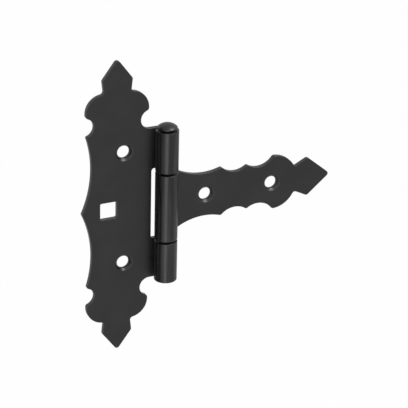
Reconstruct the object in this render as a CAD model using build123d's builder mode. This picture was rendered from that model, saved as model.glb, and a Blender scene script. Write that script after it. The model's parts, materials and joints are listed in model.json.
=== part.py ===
from build123d import *
import os
from math import asin, degrees, sqrt

# Decorative gate hinge, in millimetres: an upright ornamental plate leaf, a spear-ended strap leaf
# and the headed pin that joins them. Each leaf is one blanked sheet whose knuckles are rolled from
# the same metal. The origin is on the plate's mounting face, midway between its two screw holes.
# X runs towards the strap's tip, Y into the wall behind the leaves, and Z up along the pin.

# Sheet, pin and barrel
sheet = 2.5
pin_radius = 3.15
running_gap = 0.05
barrel_half = 40.0
barrel_lift = 1.1
ease_radius = 12.0
seam_gap = 0.9
bore_radius = pin_radius + running_gap
barrel_radius = bore_radius + sheet

# Cut-out in the plate for the strap's knuckle
cutout_half = 18.8
cutout_clearance = 0.45
cutout_corner_radius = 1.5
knuckle_gap = 1.2
strap_knuckle_half = cutout_half - knuckle_gap

# Pin ends
head_radius = 4.95
head_height = 2.6
head_rim = 0.6
head_gap = 0.9
peened_radius = 3.9
peened_height = 0.8
peened_gap = 0.1

# Plate leaf: where its upright ornament and its holes stand across the plate
pin_x = 20.5
ornament_x = -3.45
plate_half = 77.5
screw_half_pitch = 29.45
square_x = -8.05
square_side = 8.8
square_corner_radius = 0.7

# Plate leaf: half widths from the ornament's middle line, and heights
finial_foot_half = 5.9
finial_shoulder_half = 7.7
finial_shoulder_rise = 15.95
lobe_offset = 7.0
lobe_radius = 9.25
lobe_rise = 6.45
notch_offset = 17.0
notch_radius = 4.9
waist_half = 13.4
waist_rise = 1.1
cusp_half = 18.45
cusp_radius = 0.7

# Strap leaf: distances from the pin's axis, half widths, and the depth of each hollow or bulge
root_x = 4.6
root_hollow = 3.5
first_crest_x = 31.95
first_crest_half = 13.0
middle_hollow = 2.8
second_crest_x = 46.05
second_crest_half = 11.95
outer_hollow = 3.2
knob_x = 60.6
knob_half = 14.35
knob_bulge = 2.2
spear_neck_x = 72.65
spear_neck_half = 6.55
spear_shoulder_x = 80.2
spear_shoulder_half = 10.35
strap_length = 92.75
crest_radius = 1.2
strap_screw_x = 23.3
strap_screw_pitch = 36.5

# Countersunk screw holes and outline corners, the same on both leaves
screw_hole_radius = 3.15
countersink_radius = 4.5
countersink_angle = 90
corner_radius = 1.5

# How near a place a corner is when it is picked by that place
pick_margin = 0.05

# Places worked out from the sizes above: each notch rests on the barrel's end, the lobes and the end
# of the waist's long arc stand above the notch's middle, and the finial's shoulders above the lobes.
pin_y = -(barrel_radius + barrel_lift)
notch_z = barrel_half + notch_radius
lobe_z = notch_z + lobe_rise
finial_shoulder_z = lobe_z + finial_shoulder_rise
waist_end_z = notch_z + waist_rise
cusp_x = ornament_x - cusp_half
tab_x = ornament_x + notch_offset
cutout_x = pin_x - barrel_radius - cutout_clearance
# Each sheet leaves the mounting face in an easing arc that starts before the pin and runs on into the
# roll. The roll stops short of its own leaf's front face by the seam gap.
ease_offset = ease_radius - barrel_radius
ease_drop = ease_offset - barrel_lift
ease_run = sqrt(ease_offset**2 - ease_drop**2)
ease_angle = degrees(asin(ease_run / ease_offset))
roll_end_angle = degrees(asin((bore_radius + barrel_lift - seam_gap) / barrel_radius))
roll_sweep = 270 - ease_angle + roll_end_angle
plate_fold_x = pin_x - ease_run
strap_fold_x = pin_x + ease_run

mounting_face = Plane.XZ
front_face = Plane.XZ.offset(sheet)


def pin_plane(z):
    """Level plane at height z with its origin on the pin's axis."""
    return Plane(origin=(pin_x, pin_y, z))


def roll_knuckle(z, length, side):
    """Sheet eased off the mounting face and rolled round the pin, from the side (1 or -1) along X."""
    with BuildSketch(pin_plane(z)) as section:
        with BuildLine():
            ease_middle = (side * ease_run, -ease_drop)
            join_angle = 90 + side * ease_angle
            outer_ease = CenterArc(ease_middle, ease_radius, 90, side * ease_angle)
            inner_ease = CenterArc(ease_middle, ease_radius - sheet, 90, side * ease_angle)
            outer_roll = CenterArc((0, 0), barrel_radius, join_angle, side * roll_sweep)
            inner_roll = CenterArc((0, 0), bore_radius, join_angle, side * roll_sweep)
            Line(outer_ease @ 0, inner_ease @ 0)
            Line(outer_roll @ 1, inner_roll @ 1)
        make_face()
    extrude(section.sketch, amount=length)


# Plate leaf: one sheet with the outer two knuckles
with BuildPart() as plate_leaf:
    with BuildSketch(mounting_face) as plate_blank:
        with BuildLine():
            ThreePointArc((cusp_x, 0), (ornament_x - waist_half, waist_end_z / 2), (cusp_x, waist_end_z))
            Polyline(
                (cusp_x, waist_end_z),
                (ornament_x - lobe_offset, lobe_z),
                (ornament_x + lobe_offset, lobe_z),
                (tab_x, notch_z),
                (tab_x, barrel_half),
                (plate_fold_x, barrel_half),
                (plate_fold_x, 0),
                (cusp_x, 0),
            )
        make_face()
        with Locations((ornament_x - lobe_offset, lobe_z), (ornament_x + lobe_offset, lobe_z)):
            Circle(lobe_radius)
        with Locations((ornament_x - notch_offset, notch_z), (tab_x, notch_z)):
            Circle(notch_radius, mode=Mode.SUBTRACT)
        with BuildLine():
            Polyline(
                (ornament_x - finial_foot_half, lobe_z),
                (ornament_x - finial_shoulder_half, finial_shoulder_z),
                (ornament_x, plate_half),
                (ornament_x + finial_shoulder_half, finial_shoulder_z),
                (ornament_x + finial_foot_half, lobe_z),
                close=True,
            )
        make_face()
        mirror(about=Plane.XZ)
        fillet(plate_blank.vertices().filter_by(lambda corner: abs(corner.Y) > notch_z), corner_radius)
        fillet(
            plate_blank.vertices().filter_by(
                lambda corner: corner.X < ornament_x - waist_half and abs(corner.Y) < notch_z
            ),
            cusp_radius,
        )
        with Locations((cutout_x, 0)):
            Rectangle(
                plate_fold_x - cutout_x, 2 * cutout_half, align=(Align.MIN, Align.CENTER), mode=Mode.SUBTRACT
            )
        fillet(
            plate_blank.vertices().filter_by(lambda corner: abs(corner.X - cutout_x) < pick_margin),
            cutout_corner_radius,
        )
    extrude(amount=sheet)
    for foot in (cutout_half, -barrel_half):
        roll_knuckle(foot, barrel_half - cutout_half, -1)
    with Locations(front_face):
        with Locations((0, screw_half_pitch), (0, -screw_half_pitch)):
            CounterSinkHole(screw_hole_radius, countersink_radius, counter_sink_angle=countersink_angle)
    with BuildSketch(mounting_face):
        with Locations((square_x, 0)):
            RectangleRounded(square_side, square_side, square_corner_radius)
    extrude(amount=sheet, mode=Mode.SUBTRACT)

# Strap leaf: one sheet with the middle knuckle
with BuildPart() as strap_leaf:
    with BuildSketch(mounting_face) as strap_blank:
        with BuildLine():
            root = (pin_x + root_x, strap_knuckle_half)
            first_crest = (pin_x + first_crest_x, first_crest_half)
            second_crest = (pin_x + second_crest_x, second_crest_half)
            knob = (pin_x + knob_x, knob_half)
            spear_neck = (pin_x + spear_neck_x, spear_neck_half)
            Polyline((strap_fold_x, 0), (strap_fold_x, strap_knuckle_half), root)
            SagittaArc(root, first_crest, -root_hollow)
            SagittaArc(first_crest, second_crest, -middle_hollow)
            SagittaArc(second_crest, knob, -outer_hollow)
            SagittaArc(knob, spear_neck, knob_bulge)
            Polyline(
                spear_neck,
                (pin_x + spear_shoulder_x, spear_shoulder_half),
                (pin_x + strap_length, 0),
            )
            mirror(about=Plane.XZ)
        make_face()
        crests = strap_blank.vertices().filter_by(
            lambda corner: pin_x + root_x < corner.X < knob[0] - pick_margin
        )
        fillet(crests, crest_radius)
        fillet(
            strap_blank.vertices().filter_by(lambda corner: corner.X > knob[0] - pick_margin),
            corner_radius,
        )
    extrude(amount=sheet)
    roll_knuckle(-strap_knuckle_half, 2 * strap_knuckle_half, 1)
    with Locations(front_face):
        with Locations(
            (pin_x + strap_screw_x, 0),
            (pin_x + strap_screw_x + strap_screw_pitch, 0),
        ):
            CounterSinkHole(screw_hole_radius, countersink_radius, counter_sink_angle=countersink_angle)

# Hinge pin: a turned shank with a domed head above and a peened end below
with BuildPart() as hinge_pin:
    with BuildSketch(Plane(origin=(pin_x, pin_y, 0), x_dir=(1, 0, 0), z_dir=(0, -1, 0))):
        with BuildLine():
            head_foot = barrel_half + head_gap
            peened_top = -(barrel_half + peened_gap)
            dome_start = (head_radius, head_foot + head_rim)
            crown = (0, head_foot + head_height)
            peened_rim = (peened_radius, peened_top)
            peened_crown = (0, peened_top - peened_height)
            Polyline(
                peened_rim,
                (pin_radius, peened_top),
                (pin_radius, head_foot),
                (head_radius, head_foot),
                dome_start,
            )
            TangentArc(crown, dome_start, tangent=(1, 0))
            Line(crown, peened_crown)
            TangentArc(peened_crown, peened_rim, tangent=(1, 0))
        make_face()
    revolve(axis=Axis((pin_x, pin_y, 0), (0, 0, 1)))

plate_leaf.part.label = "plate_leaf"
strap_leaf.part.label = "strap_leaf"
hinge_pin.part.label = "hinge_pin"

os.makedirs("parts", exist_ok=True)
export_step(plate_leaf.part, "parts/plate_leaf.step")
export_step(strap_leaf.part, "parts/strap_leaf.step")
export_step(hinge_pin.part, "parts/hinge_pin.step")
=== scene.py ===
"""Decorative gate hinge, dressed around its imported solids.

The plate leaf, the strap leaf and the hinge pin keep the shape of their solids. Each gets the
soft edges that a blanked, rolled or headed piece has under its coat, and the satin black powder
coat itself. Everything is in metres, in the frame of the solids: X runs towards the strap's tip,
Y into the wall behind the leaves, and Z up along the pin.
"""

import json
import logging
import math
from dataclasses import dataclass, field
from enum import Enum

import bmesh
import bpy
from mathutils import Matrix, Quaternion, Vector


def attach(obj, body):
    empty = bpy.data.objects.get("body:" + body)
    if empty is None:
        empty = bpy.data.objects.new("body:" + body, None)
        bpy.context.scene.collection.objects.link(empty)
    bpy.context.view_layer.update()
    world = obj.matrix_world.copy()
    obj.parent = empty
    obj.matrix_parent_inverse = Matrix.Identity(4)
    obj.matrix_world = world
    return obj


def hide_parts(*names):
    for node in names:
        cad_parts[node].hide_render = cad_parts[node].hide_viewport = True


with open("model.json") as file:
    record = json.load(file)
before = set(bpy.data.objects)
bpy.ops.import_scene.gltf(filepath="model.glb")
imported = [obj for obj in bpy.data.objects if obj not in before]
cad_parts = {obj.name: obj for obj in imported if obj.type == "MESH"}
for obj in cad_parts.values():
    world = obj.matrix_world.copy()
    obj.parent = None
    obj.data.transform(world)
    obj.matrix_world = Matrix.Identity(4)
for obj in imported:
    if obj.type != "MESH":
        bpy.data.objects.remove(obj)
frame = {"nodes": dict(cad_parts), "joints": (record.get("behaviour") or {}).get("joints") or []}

LOG = logging.getLogger("gate_hinge")
MM = 0.001
WHITE = (1.0, 1.0, 1.0, 1.0)

Colour = tuple[float, float, float]
Point = tuple[float, float, float]


class Lay(Enum):
    """How the steel under a coat was worked, which shows through as a faint relief.

    The value is the relief's scale along X, Y and Z, in waves to the metre.
    """

    SHEET = (260.0, 260.0, 260.0)
    ROLLED = (820.0, 820.0, 16.0)
    TURNED = (420.0, 420.0, 420.0)


class Graph:
    """The shader nodes of one material or world, laid out on a grid.

    Attributes:
        CELL: Width and height of the grid's cells, in the node editor's units.
        tree: The node tree.
    """

    CELL = (220.0, 280.0)

    def __init__(self, tree: bpy.types.NodeTree) -> None:
        """Empties a node tree and keeps it.

        Args:
            tree: The node tree of a material or a world.
        """
        self.tree = tree
        self.tree.nodes.clear()

    def add(self, kind: str, cell: tuple[int, int], **values: object) -> bpy.types.Node:
        """Adds a node and sets its properties and sockets.

        Args:
            kind: The node's type name.
            cell: Column and row of the grid where the node stands, from the top left.
            **values: Properties of the node by name, or sockets by name with underscores.

        Returns:
            The new node.
        """
        node = self.tree.nodes.new(kind)
        node.location = (cell[0] * self.CELL[0], -cell[1] * self.CELL[1])
        for name, value in values.items():
            if hasattr(node, name):
                setattr(node, name, value)
            else:
                node.inputs[name.replace("_", " ")].default_value = value
        return node

    def link(self, source: bpy.types.NodeSocket, target: bpy.types.NodeSocket) -> None:
        """Joins two sockets.

        Args:
            source: The output socket.
            target: The input socket.
        """
        self.tree.links.new(source, target)


@dataclass(frozen=True)
class PowderCoat:
    """Satin black powder coat on steel, with its finish drawn from noise on object coordinates.

    Attributes:
        name: The material's name.
        lay: How the steel under the coat was worked.
        body: Colour of the coat.
        thin_coat_and_painted_sheen: Colour of the coat where it lies a little thinner; on the
            rolled knuckles, the lighter colour of painted reflection streaks that stand in for the
            roll's faceted reflections.
        gloss: Lowest and highest roughness over the surface.
        bending: The coat's index of refraction.
        lay_height: Height of the relief that shows through from the steel, in metres.
        peel_waves: Waves of the coat's orange peel to the metre.
        peel_height: Height of the orange peel, in metres.
        grain_waves: Waves of the powder's fine grain to the metre.
        grain_height: Height of the fine grain, in metres.
        patch_waves: Waves of the patches in gloss and colour to the metre, along X, Y and Z.
        patch_edges: Noise under which a place lies outside a patch, and over which it lies inside.
        patch_octaves: Octaves of the patches' noise, and each one's strength against the last.
        relief_octaves: Octaves of the noise of the lay, the orange peel and the grain.
    """

    name: str
    lay: Lay
    body: Colour = (0.0050, 0.0050, 0.0052)
    thin_coat_and_painted_sheen: Colour = (0.0074, 0.0071, 0.0084)
    gloss: tuple[float, float] = (0.34, 0.40)
    bending: float = 1.5
    lay_height: float = 3.0e-6
    peel_waves: float = 650.0
    peel_height: float = 2.2e-6
    grain_waves: float = 5200.0
    grain_height: float = 0.35e-6
    patch_waves: Point = (70.0, 70.0, 70.0)
    patch_edges: tuple[float, float] = (0.35, 0.65)
    patch_octaves: tuple[float, float] = (3.0, 0.55)
    relief_octaves: float = 2.0

    def material(self) -> bpy.types.Material:
        """Makes the coat's material.

        Returns:
            A material whose colour, gloss and relief come from noise.
        """
        coat = bpy.data.materials.new(self.name)
        coat.use_nodes = True
        graph = Graph(coat.node_tree)
        output = graph.add("ShaderNodeOutputMaterial", (6, 0))
        shader = graph.add("ShaderNodeBsdfPrincipled", (5, 0), Metallic=0.0, IOR=self.bending)
        place = graph.add("ShaderNodeTexCoord", (0, 1))
        patch = self._patch(graph, place)
        graph.link(self._tint(graph, patch), shader.inputs["Base Color"])
        graph.link(self._gloss(graph, patch), shader.inputs["Roughness"])
        graph.link(self._relief(graph, place), shader.inputs["Normal"])
        graph.link(shader.outputs["BSDF"], output.inputs["Surface"])
        return coat

    def _noise(
        self, graph: Graph, place: bpy.types.Node, row: int, waves: Point, **detail: float
    ) -> bpy.types.NodeSocket:
        """Draws noise on the object's coordinates.

        Args:
            graph: The material's nodes.
            place: The texture coordinates.
            row: The grid's row that the nodes stand in.
            waves: Waves of the noise to the metre, along X, Y and Z.
            **detail: Sockets of the noise node by name.

        Returns:
            The noise's socket.
        """
        scale = graph.add("ShaderNodeMapping", (1, row), Scale=waves)
        noise = graph.add("ShaderNodeTexNoise", (2, row), Scale=1.0, **detail)
        graph.link(place.outputs["Object"], scale.inputs["Vector"])
        graph.link(scale.outputs["Vector"], noise.inputs["Vector"])
        return noise.outputs["Fac"]

    def _patch(self, graph: Graph, place: bpy.types.Node) -> bpy.types.NodeSocket:
        """Spreads patches over the coat.

        Args:
            graph: The material's nodes.
            place: The texture coordinates.

        Returns:
            A socket that goes from 0 to 1 over the patches.
        """
        octaves, fade = self.patch_octaves
        noise = self._noise(graph, place, 0, self.patch_waves, Detail=octaves, Roughness=fade)
        outside, inside = self.patch_edges
        spread = graph.add("ShaderNodeMapRange", (3, 0), From_Min=outside, From_Max=inside)
        graph.link(noise, spread.inputs["Value"])
        return spread.outputs["Result"]

    def _tint(self, graph: Graph, patch: bpy.types.NodeSocket) -> bpy.types.NodeSocket:
        """Blends the coat's two blacks by the patches. On the rolled knuckles the patches are
        streaks along the roll, and their lighter black is painted reflection.

        Args:
            graph: The material's nodes.
            patch: The socket that places the patches.

        Returns:
            The colour socket.
        """
        blend = graph.add("ShaderNodeMix", (4, 0), data_type="RGBA")
        colours = [socket for socket in blend.inputs if socket.type == "RGBA"]
        for socket, colour in zip(colours, (self.body, self.thin_coat_and_painted_sheen)):
            socket.default_value = (*colour, 1.0)
        graph.link(patch, blend.inputs["Factor"])
        return next(socket for socket in blend.outputs if socket.type == "RGBA")

    def _gloss(self, graph: Graph, patch: bpy.types.NodeSocket) -> bpy.types.NodeSocket:
        """Spreads the roughness between its limits by the patches.

        Args:
            graph: The material's nodes.
            patch: The socket that places the patches.

        Returns:
            The roughness socket.
        """
        low, high = self.gloss
        spread = graph.add("ShaderNodeMapRange", (4, 1), To_Min=low, To_Max=high)
        graph.link(patch, spread.inputs["Value"])
        return spread.outputs["Result"]

    def _relief(self, graph: Graph, place: bpy.types.Node) -> bpy.types.NodeSocket:
        """Stacks the steel's lay, the orange peel and the fine grain as bump.

        Args:
            graph: The material's nodes.
            place: The texture coordinates.

        Returns:
            The normal socket.
        """
        waves = (self.lay.value, (self.peel_waves,) * 3, (self.grain_waves,) * 3)
        heights = (self.lay_height, self.peel_height, self.grain_height)
        normal: bpy.types.NodeSocket | None = None
        for row, (scale, height) in enumerate(zip(waves, heights), start=1):
            noise = self._noise(graph, place, row, scale, Detail=self.relief_octaves)
            bump = graph.add("ShaderNodeBump", (3, row), Strength=1.0, Distance=height)
            graph.link(noise, bump.inputs["Height"])
            if normal is not None:
                graph.link(normal, bump.inputs["Normal"])
            normal = bump.outputs["Normal"]
        return normal


@dataclass
class CoatedPiece:
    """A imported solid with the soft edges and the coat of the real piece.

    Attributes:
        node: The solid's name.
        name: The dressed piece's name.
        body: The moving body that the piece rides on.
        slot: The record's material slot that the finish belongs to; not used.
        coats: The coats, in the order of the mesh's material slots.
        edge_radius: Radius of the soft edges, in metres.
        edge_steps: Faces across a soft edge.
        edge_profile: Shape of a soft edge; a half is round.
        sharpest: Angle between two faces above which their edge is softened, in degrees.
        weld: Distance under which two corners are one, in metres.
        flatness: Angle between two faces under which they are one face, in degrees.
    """

    node: str
    name: str
    body: str
    slot: str
    coats: tuple[PowderCoat, ...]
    edge_radius: float = 0.25 * MM
    edge_steps: int = 3
    edge_profile: float = 0.5
    sharpest: float = 28.0
    weld: float = 1e-6
    flatness: float = 0.6

    def shape(self) -> bpy.types.Mesh:
        """Makes the piece's mesh from the solid's.

        Returns:
            The mesh, with its edges softened and its coats' slots given.
        """
        shape = bmesh.new()
        shape.from_mesh(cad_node(self.node).data)
        bmesh.ops.remove_doubles(shape, verts=shape.verts, dist=self.weld)
        bmesh.ops.dissolve_limit(
            shape, angle_limit=math.radians(self.flatness), verts=shape.verts, edges=shape.edges
        )
        self.refine(shape)
        self.soften(shape)
        self.mark(shape)
        for face in shape.faces:
            face.smooth = True
        mesh = bpy.data.meshes.new(self.name)
        shape.to_mesh(mesh)
        shape.free()
        return mesh

    def build(self) -> bpy.types.Object:
        """Builds the piece in the solid's place and dresses it.

        Returns:
            The finished object.
        """
        mesh = self.shape()
        piece = bpy.data.objects.new(self.name, mesh)
        bpy.context.scene.collection.objects.link(piece)
        for coat in self.coats:
            mesh.materials.append(coat.material())
        weighted = piece.modifiers.new("flat faces stay flat", "WEIGHTED_NORMAL")
        weighted.keep_sharp = True
        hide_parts(self.node)
        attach(piece, self.body)
        LOG.info("%s: %d faces", self.name, len(mesh.polygons))
        return piece

    def refine(self, shape: bmesh.types.BMesh) -> None:
        """Makes round faces finer before the edges are softened; a plain piece needs none.

        Args:
            shape: The piece's mesh.
        """

    def mark(self, shape: bmesh.types.BMesh) -> None:
        """Gives faces their material slots; a plain piece has one coat all over.

        Args:
            shape: The piece's mesh.
        """

    def soften(self, shape: bmesh.types.BMesh) -> None:
        """Rounds every edge whose two faces meet at more than the sharpest angle.

        Args:
            shape: The piece's mesh.
        """
        limit = math.radians(self.sharpest)
        bmesh.ops.bevel(
            shape,
            geom=[edge for edge in shape.edges if edge.calc_face_angle(0.0) > limit],
            offset=self.edge_radius,
            offset_type="OFFSET",
            segments=self.edge_steps,
            profile=self.edge_profile,
            affect="EDGES",
            clamp_overlap=False,
            loop_slide=False,
            material=-1,
        )


@dataclass
class RolledLeaf(CoatedPiece):
    """A leaf of one sheet, flat where it is screwed on and rolled round the pin at its side.

    Attributes:
        joint: The joint whose axis is the pin's.
        on_roll: How near a corner is to the roll's radius to lie on the roll, in metres.
        pin: X and Y of the pin's axis, in metres, from the frame.
        roll_radius: Radius of the roll's outside, in metres, from the frame.
    """

    joint: str = "strap_swing"
    on_roll: float = 0.004 * MM
    pin: tuple[float, float] = field(init=False)
    roll_radius: float = field(init=False)

    def __post_init__(self) -> None:
        """Takes the pin's axis from the joint and the roll's radius from the solid.

        In front of the pin's axis a leaf has only its roll, so the corner that lies farthest from
        the axis there is on the roll's outside.
        """
        place = next(joint["pos_m"] for joint in frame["joints"] if joint["name"] == self.joint)
        self.pin = (place[0], place[1])
        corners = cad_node(self.node).data.vertices
        self.roll_radius = max(
            self.reach(corner) for corner in corners if corner.co.y < self.pin[1]
        )

    def reach(self, corner: bmesh.types.BMVert | bpy.types.MeshVertex) -> float:
        """Measures how far a corner is from the pin's axis.

        Args:
            corner: A corner of the leaf's mesh or of its solid's.

        Returns:
            The distance, in metres.
        """
        return math.hypot(corner.co.x - self.pin[0], corner.co.y - self.pin[1])

    def around(self, edge: bmesh.types.BMEdge) -> bool:
        """Finds whether an edge runs level round the outside of the roll.

        Args:
            edge: An edge of the leaf's mesh.

        Returns:
            True if both its corners lie on the outside and at one height.
        """
        level = abs(edge.verts[0].co.z - edge.verts[1].co.z) < self.weld
        return level and all(
            abs(self.reach(corner) - self.roll_radius) < self.on_roll for corner in edge.verts
        )

    def refine(self, shape: bmesh.types.BMesh) -> None:
        """Halves the steps round the outside of the roll and sets the new corners on it.

        Args:
            shape: The leaf's mesh.
        """
        steps = [edge for edge in shape.edges if self.around(edge)]
        cut = bmesh.ops.subdivide_edges(shape, edges=steps, cuts=1, use_grid_fill=True)
        for corner in cut["geom_inner"]:
            if isinstance(corner, bmesh.types.BMVert):
                stretch = self.roll_radius / self.reach(corner)
                corner.co.x = self.pin[0] + (corner.co.x - self.pin[0]) * stretch
                corner.co.y = self.pin[1] + (corner.co.y - self.pin[1]) * stretch

    def mark(self, shape: bmesh.types.BMesh) -> None:
        """Gives the roll's outside, with the soft edges round it, the rolled coat.

        Args:
            shape: The leaf's mesh.
        """
        for face in shape.faces:
            if all(
                abs(self.reach(corner) - self.roll_radius) < self.edge_radius
                for corner in face.verts
            ):
                face.material_index = 1


def bearing(azimuth: float, elevation: float = 0.0) -> Vector:
    """Gives the direction of a place in the studio.

    Args:
        azimuth: Turn round Z from the front, in degrees, positive to the right.
        elevation: Height over the level, in degrees.

    Returns:
        A vector of length 1 from the object towards the place.
    """
    turn, rise = math.radians(azimuth), math.radians(elevation)
    return Vector(
        (math.sin(turn) * math.cos(rise), -math.cos(turn) * math.cos(rise), math.sin(rise))
    )


def prop(name: str, shape: bmesh.types.BMesh, paint: bpy.types.Material) -> bpy.types.Object:
    """Makes a plain object of the studio.

    Args:
        name: The object's name.
        shape: Its mesh, which is freed.
        paint: Its material.

    Returns:
        The object, in the scene.
    """
    mesh = bpy.data.meshes.new(name)
    shape.to_mesh(mesh)
    shape.free()
    mesh.materials.append(paint)
    thing = bpy.data.objects.new(name, mesh)
    bpy.context.scene.collection.objects.link(thing)
    return thing


@dataclass(frozen=True)
class Panel:
    """A soft studio lamp.

    Attributes:
        name: The lamp's name.
        azimuth: Where it stands, in degrees round Z from the front, positive to the right.
        elevation: Its height over the object's middle, in degrees.
        distance: Its distance from the object's middle, in metres.
        size: Its width and height, in metres.
        power: Its power, in watts.
    """

    name: str
    azimuth: float
    elevation: float
    distance: float
    size: tuple[float, float]
    power: float

    def build(self, aim: Vector) -> None:
        """Hangs the lamp, facing the object.

        Args:
            aim: The point that the lamp faces.
        """
        lamp = bpy.data.lights.new(self.name, "AREA")
        lamp.shape = "RECTANGLE"
        lamp.size, lamp.size_y = self.size
        lamp.energy = self.power
        away = bearing(self.azimuth, self.elevation)
        lamp_object = bpy.data.objects.new(self.name, lamp)
        lamp_object.location = aim + away * self.distance
        lamp_object.rotation_mode = "QUATERNION"
        lamp_object.rotation_quaternion = away.to_track_quat("Z", "Y")
        bpy.context.scene.collection.objects.link(lamp_object)


@dataclass(frozen=True)
class Flag:
    """An upright dark card beside the set, which reflections see and the camera doesn't.

    Attributes:
        name: The card's name.
        azimuth: Where it stands, in degrees round Z from the front, positive to the right.
        distance: Its distance from the object's middle, in metres.
        size: Its width and height, in metres.
        foot: Height of its lower edge, in metres.
        shade: Grey of the card.
    """

    name: str
    azimuth: float
    distance: float
    size: tuple[float, float]
    foot: float
    shade: float = 0.02

    def build(self, aim: Vector) -> None:
        """Stands the card up, facing the object.

        Args:
            aim: The point that the card faces.
        """
        away = bearing(self.azimuth)
        up = Vector((0.0, 0.0, 1.0))
        across = up.cross(away) * (self.size[0] / 2)
        rise = up * self.size[1]
        foot = Vector((aim.x, aim.y, self.foot)) + away * self.distance
        corners = (foot - across, foot + across, foot + across + rise, foot - across + rise)
        shape = bmesh.new()
        shape.faces.new([shape.verts.new(corner) for corner in corners])
        paint = bpy.data.materials.new(self.name)
        paint.use_nodes = True
        graph = Graph(paint.node_tree)
        output = graph.add("ShaderNodeOutputMaterial", (1, 0))
        matt = graph.add("ShaderNodeBsdfDiffuse", (0, 0), Color=(*(self.shade,) * 3, 1.0))
        graph.link(matt.outputs["BSDF"], output.inputs["Surface"])
        card = prop(self.name, shape, paint)
        card.visible_camera = False
        card.visible_shadow = False


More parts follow.
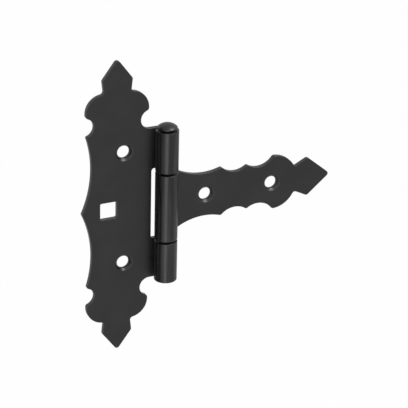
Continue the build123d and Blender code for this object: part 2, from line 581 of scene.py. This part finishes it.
@dataclass
class Studio:
    """Pale floor, soft lamps and the camera at the photograph's angle.

    Attributes:
        floor_z: Height of the floor, in metres.
        floor_size: Side of the floor, in metres.
        floor_shade: Grey of the floor.
        white_share: Share of plain white in what the camera sees of the floor.
        surround: Strength of the white surround as a light; the camera sees it at full white.
        panels: The lamps.
        flags: The dark cards.
        middle: The point that the lamps face.
        aim: The point on the camera's axis.
        azimuth: The camera's turn from the front, in degrees, positive to the left.
        elevation: How far the camera looks down, in degrees.
        roll: The camera's roll about its own axis, in degrees.
        distance: Distance from the camera to the aim, in metres.
        lens: The camera's focal length, in millimetres.
        sensor: Width of the camera's sensor, in millimetres.
        clip: Nearest and farthest distance that the camera sees, in metres.
    """

    floor_z: float = -1.0
    floor_size: float = 12.0
    floor_shade: float = 0.80
    white_share: float = 0.97
    surround: float = 0.83
    panels: tuple[Panel, ...] = (
        Panel("panel_left", -26.0, -5.0, 0.48, (0.15, 0.80), 1.0),
        Panel("panel_right", 44.0, 55.0, 0.80, (0.46, 0.26), 4.3),
        Panel("panel_edge", -112.0, 10.0, 0.60, (0.20, 0.50), 0.7),
    )
    flags: tuple[Flag, ...] = (Flag("flag_left", -81.0, 0.45, (0.30, 0.90), -0.30),)
    middle: Point = (0.03, 0.0, 0.0)
    aim: Point = (37.753 * MM, -13.313 * MM, 0.457 * MM)
    azimuth: float = 25.652
    elevation: float = 24.818
    roll: float = 1.407
    distance: float = 933.57 * MM
    lens: float = 168.55
    sensor: float = 36.0
    clip: tuple[float, float] = (0.05, 50.0)

    def build(self) -> None:
        """Sets up the floor, the surround, the lamps, the cards and the camera."""
        self.floor()
        self.sky()
        for panel in self.panels:
            panel.build(Vector(self.middle))
        for flag in self.flags:
            flag.build(Vector(self.middle))
        self.camera()
        settings = bpy.context.scene.view_settings
        settings.view_transform = "Standard"

    def floor(self) -> None:
        """Lays the pale floor under the object, nearly white where the camera sees it."""
        shape = bmesh.new()
        bmesh.ops.create_grid(shape, x_segments=1, y_segments=1, size=self.floor_size / 2)
        bmesh.ops.translate(shape, verts=shape.verts, vec=(0.0, 0.0, self.floor_z))
        paint = bpy.data.materials.new("pale floor")
        paint.use_nodes = True
        graph = Graph(paint.node_tree)
        output = graph.add("ShaderNodeOutputMaterial", (3, 0))
        path = graph.add("ShaderNodeLightPath", (0, 0))
        seen = graph.add("ShaderNodeMath", (1, 0), operation="MULTIPLY")
        seen.inputs[1].default_value = self.white_share
        matt = graph.add("ShaderNodeBsdfDiffuse", (1, 1), Color=(*(self.floor_shade,) * 3, 1.0))
        white = graph.add("ShaderNodeEmission", (1, 2), Strength=1.0)
        blend = graph.add("ShaderNodeMixShader", (2, 0))
        graph.link(path.outputs["Is Camera Ray"], seen.inputs[0])
        graph.link(seen.outputs["Value"], blend.inputs["Fac"])
        graph.link(matt.outputs["BSDF"], blend.inputs[1])
        graph.link(white.outputs["Emission"], blend.inputs[2])
        graph.link(blend.outputs["Shader"], output.inputs["Surface"])
        floor = prop("floor", shape, paint)

    def sky(self) -> None:
        """Surrounds the scene with soft white, full white where the camera sees it."""
        world = bpy.data.worlds.new("white surround")
        world.use_nodes = True
        graph = Graph(world.node_tree)
        output = graph.add("ShaderNodeOutputWorld", (3, 0))
        path = graph.add("ShaderNodeLightPath", (0, 0))
        lit = graph.add("ShaderNodeBackground", (1, 0), Color=WHITE, Strength=self.surround)
        seen = graph.add("ShaderNodeBackground", (1, 1), Color=WHITE, Strength=1.0)
        blend = graph.add("ShaderNodeMixShader", (2, 0))
        graph.link(path.outputs["Is Camera Ray"], blend.inputs["Fac"])
        graph.link(lit.outputs["Background"], blend.inputs[1])
        graph.link(seen.outputs["Background"], blend.inputs[2])
        graph.link(blend.outputs["Shader"], output.inputs["Surface"])
        bpy.context.scene.world = world

    def camera(self) -> None:
        """Puts the camera at the photograph's angle."""
        away = bearing(-self.azimuth, self.elevation)
        optics = bpy.data.cameras.new("camera")
        optics.lens = self.lens
        optics.sensor_width = self.sensor
        optics.clip_start, optics.clip_end = self.clip
        camera = bpy.data.objects.new("camera", optics)
        camera.location = Vector(self.aim) + away * self.distance
        camera.rotation_mode = "QUATERNION"
        level = (-away).to_track_quat("-Z", "Y")
        camera.rotation_quaternion = level @ Quaternion((0.0, 0.0, 1.0), math.radians(self.roll))
        bpy.context.scene.collection.objects.link(camera)
        bpy.context.scene.camera = camera


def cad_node(name: str) -> bpy.types.Object:
    """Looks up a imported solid.

    Args:
        name: The solid's name.

    Returns:
        The solid's object.
    """
    return frame["nodes"][name]


def main() -> None:
    """Builds the pieces and the studio."""
    logging.basicConfig(level=logging.INFO, format="%(name)s: %(message)s")
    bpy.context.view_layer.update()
    sheet_coat = PowderCoat("black coat on sheet", Lay.SHEET)
    # The rolled knuckles' colour is near black with lighter streaks along the roll. These are
    # painted reflection streaks, standing in for the faceted reflections of the rolled sheet.
    rolled_coat = PowderCoat(
        "black coat on rolled knuckles",
        Lay.ROLLED,
        body=(0.0005, 0.0005, 0.0005),
        thin_coat_and_painted_sheen=(0.0150, 0.0147, 0.0162),
        patch_waves=(760.0, 760.0, 30.0),
        patch_edges=(0.40, 0.62),
    )
    turned_coat = PowderCoat("black coat on the pin", Lay.TURNED)
    leaf_coats = (sheet_coat, rolled_coat)
    RolledLeaf("plate_leaf", "plate_leaf_coated", "plate", "plate_coat", leaf_coats).build()
    RolledLeaf("strap_leaf", "strap_leaf_coated", "strap", "strap_coat", leaf_coats).build()
    CoatedPiece(
        "hinge_pin", "hinge_pin_coated", "plate", "pin_coat", (turned_coat,), edge_radius=0.12 * MM
    ).build()
    Studio().build()


if __name__ == "__main__":
    main()
